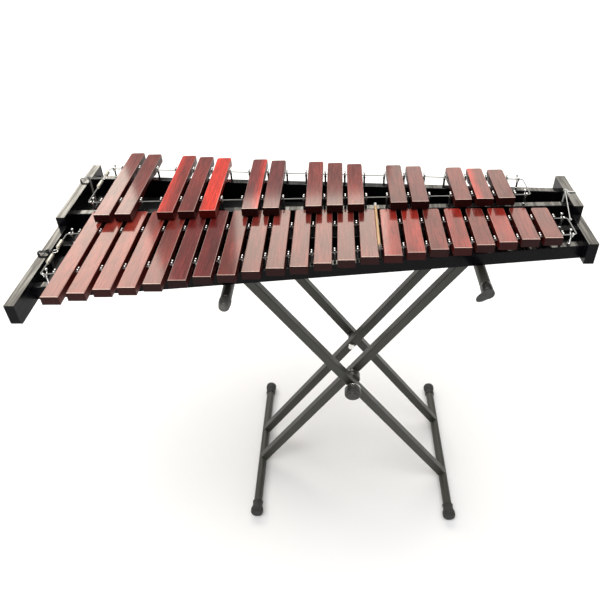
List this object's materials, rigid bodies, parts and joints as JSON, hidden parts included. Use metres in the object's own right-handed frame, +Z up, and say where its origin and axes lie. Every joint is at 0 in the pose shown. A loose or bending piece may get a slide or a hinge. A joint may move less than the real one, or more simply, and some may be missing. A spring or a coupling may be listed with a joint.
{
  "type": "xylophone",
  "caption": "Table-top bar xylophone with natural and accidental rows hung on sprung cords, standing on a folding double-X stand.",
  "frame": {"origin": "on the floor, under the middle of the whole object's box", "axes": "+X along the keyboard towards the high notes, +Y away from the player, +Z up"},
  "size_m": [1.2536, 0.6281, 0.917],
  "materials": {
    "lacquered_bar_wood": "satin lacquer over wine-red stain",
    "black_gloss_wood": "gloss lacquer",
    "black_rubber": "matt",
    "chrome_wire": "polished",
    "suspension_cord": "braided",
    "spring_steel": "bright",
    "light_wood": "plain",
    "stand_paint": "satin powder coat",
    "black_plastic": "moulded"
  },
  "bodies": {
    "outer_legs": {"outer_front_arm": "stand_paint", "outer_rear_arm": "stand_paint", "outer_foot_tube": "stand_paint", "outer_support_tube": "stand_paint", "outer_foot_caps": "black_rubber", "outer_support_plugs": "black_plastic", "outer_clutch_disc": "black_plastic", "rear_spacer": "black_plastic", "pivot_bolts": "chrome_wire"},
    "inner_legs": {"inner_front_arm": "stand_paint", "inner_rear_arm": "stand_paint", "inner_foot_tube": "stand_paint", "inner_support_tube": "stand_paint", "inner_foot_caps": "black_rubber", "inner_support_plugs": "black_plastic", "inner_clutch_disc": "black_plastic"},
    "instrument": {"natural_bar_01": "lacquered_bar_wood", "natural_bar_02": "lacquered_bar_wood", "natural_bar_03": "lacquered_bar_wood", "natural_bar_04": "lacquered_bar_wood", "natural_bar_05": "lacquered_bar_wood", "natural_bar_06": "lacquered_bar_wood", "natural_bar_07": "lacquered_bar_wood", "natural_bar_08": "lacquered_bar_wood", "natural_bar_09": "lacquered_bar_wood", "natural_bar_10": "lacquered_bar_wood", "natural_bar_11": "lacquered_bar_wood", "natural_bar_12": "lacquered_bar_wood", "natural_bar_13": "lacquered_bar_wood", "natural_bar_14": "lacquered_bar_wood", "natural_bar_15": "lacquered_bar_wood", "natural_bar_16": "lacquered_bar_wood", "natural_bar_17": "lacquered_bar_wood", "natural_bar_18": "lacquered_bar_wood", "natural_bar_19": "lacquered_bar_wood", "natural_bar_20": "lacquered_bar_wood", "natural_bar_21": "lacquered_bar_wood", "natural_bar_22": "lacquered_bar_wood", "accidental_pair_1": "lacquered_bar_wood", "accidental_trio_1": "lacquered_bar_wood", "accidental_pair_2": "lacquered_bar_wood", "accidental_trio_2": "lacquered_bar_wood", "accidental_pair_3": "lacquered_bar_wood", "accidental_trio_3": "lacquered_bar_wood", "natural_front_rail": "black_gloss_wood", "natural_rear_rail": "black_gloss_wood", "accidental_front_rail": "black_gloss_wood", "accidental_rear_rail": "black_gloss_wood", "left_end_block": "black_gloss_wood", "right_end_block": "black_gloss_wood", "bottom_panels": "black_gloss_wood", "post_sleeves": "black_rubber", "post_forks": "chrome_wire", "natural_cord": "suspension_cord", "accidental_cord": "suspension_cord", "tension_springs": "spring_steel", "spring_rings": "spring_steel", "block_tethers": "suspension_cord", "mallet_stick": "light_wood"},
    "lock_knob": {"lock_knob": "black_plastic"}
  },
  "joints": [
    {"name": "instrument_lift", "type": "slide", "parent": "outer_legs", "child": "instrument", "axis": [0, 0, 1], "range_m": [0, 0.408]},
    {"name": "stand_fold", "type": "hinge", "parent": "outer_legs", "child": "inner_legs", "pos_m": [0.095, 0.021, 0.4146], "axis": [0, -1, 0], "range_deg": [0, 65]},
    {"name": "lock_knob_turn", "type": "hinge", "parent": "outer_legs", "child": "lock_knob", "pos_m": [0.095, -0.1, 0.4146], "axis": [0, -1, 0], "range_deg": [0, 360]}
  ],
  "couplings": [
    {"joint": "stand_fold", "follows": "instrument_lift", "rad_per_m": 2.7763}
  ]
}
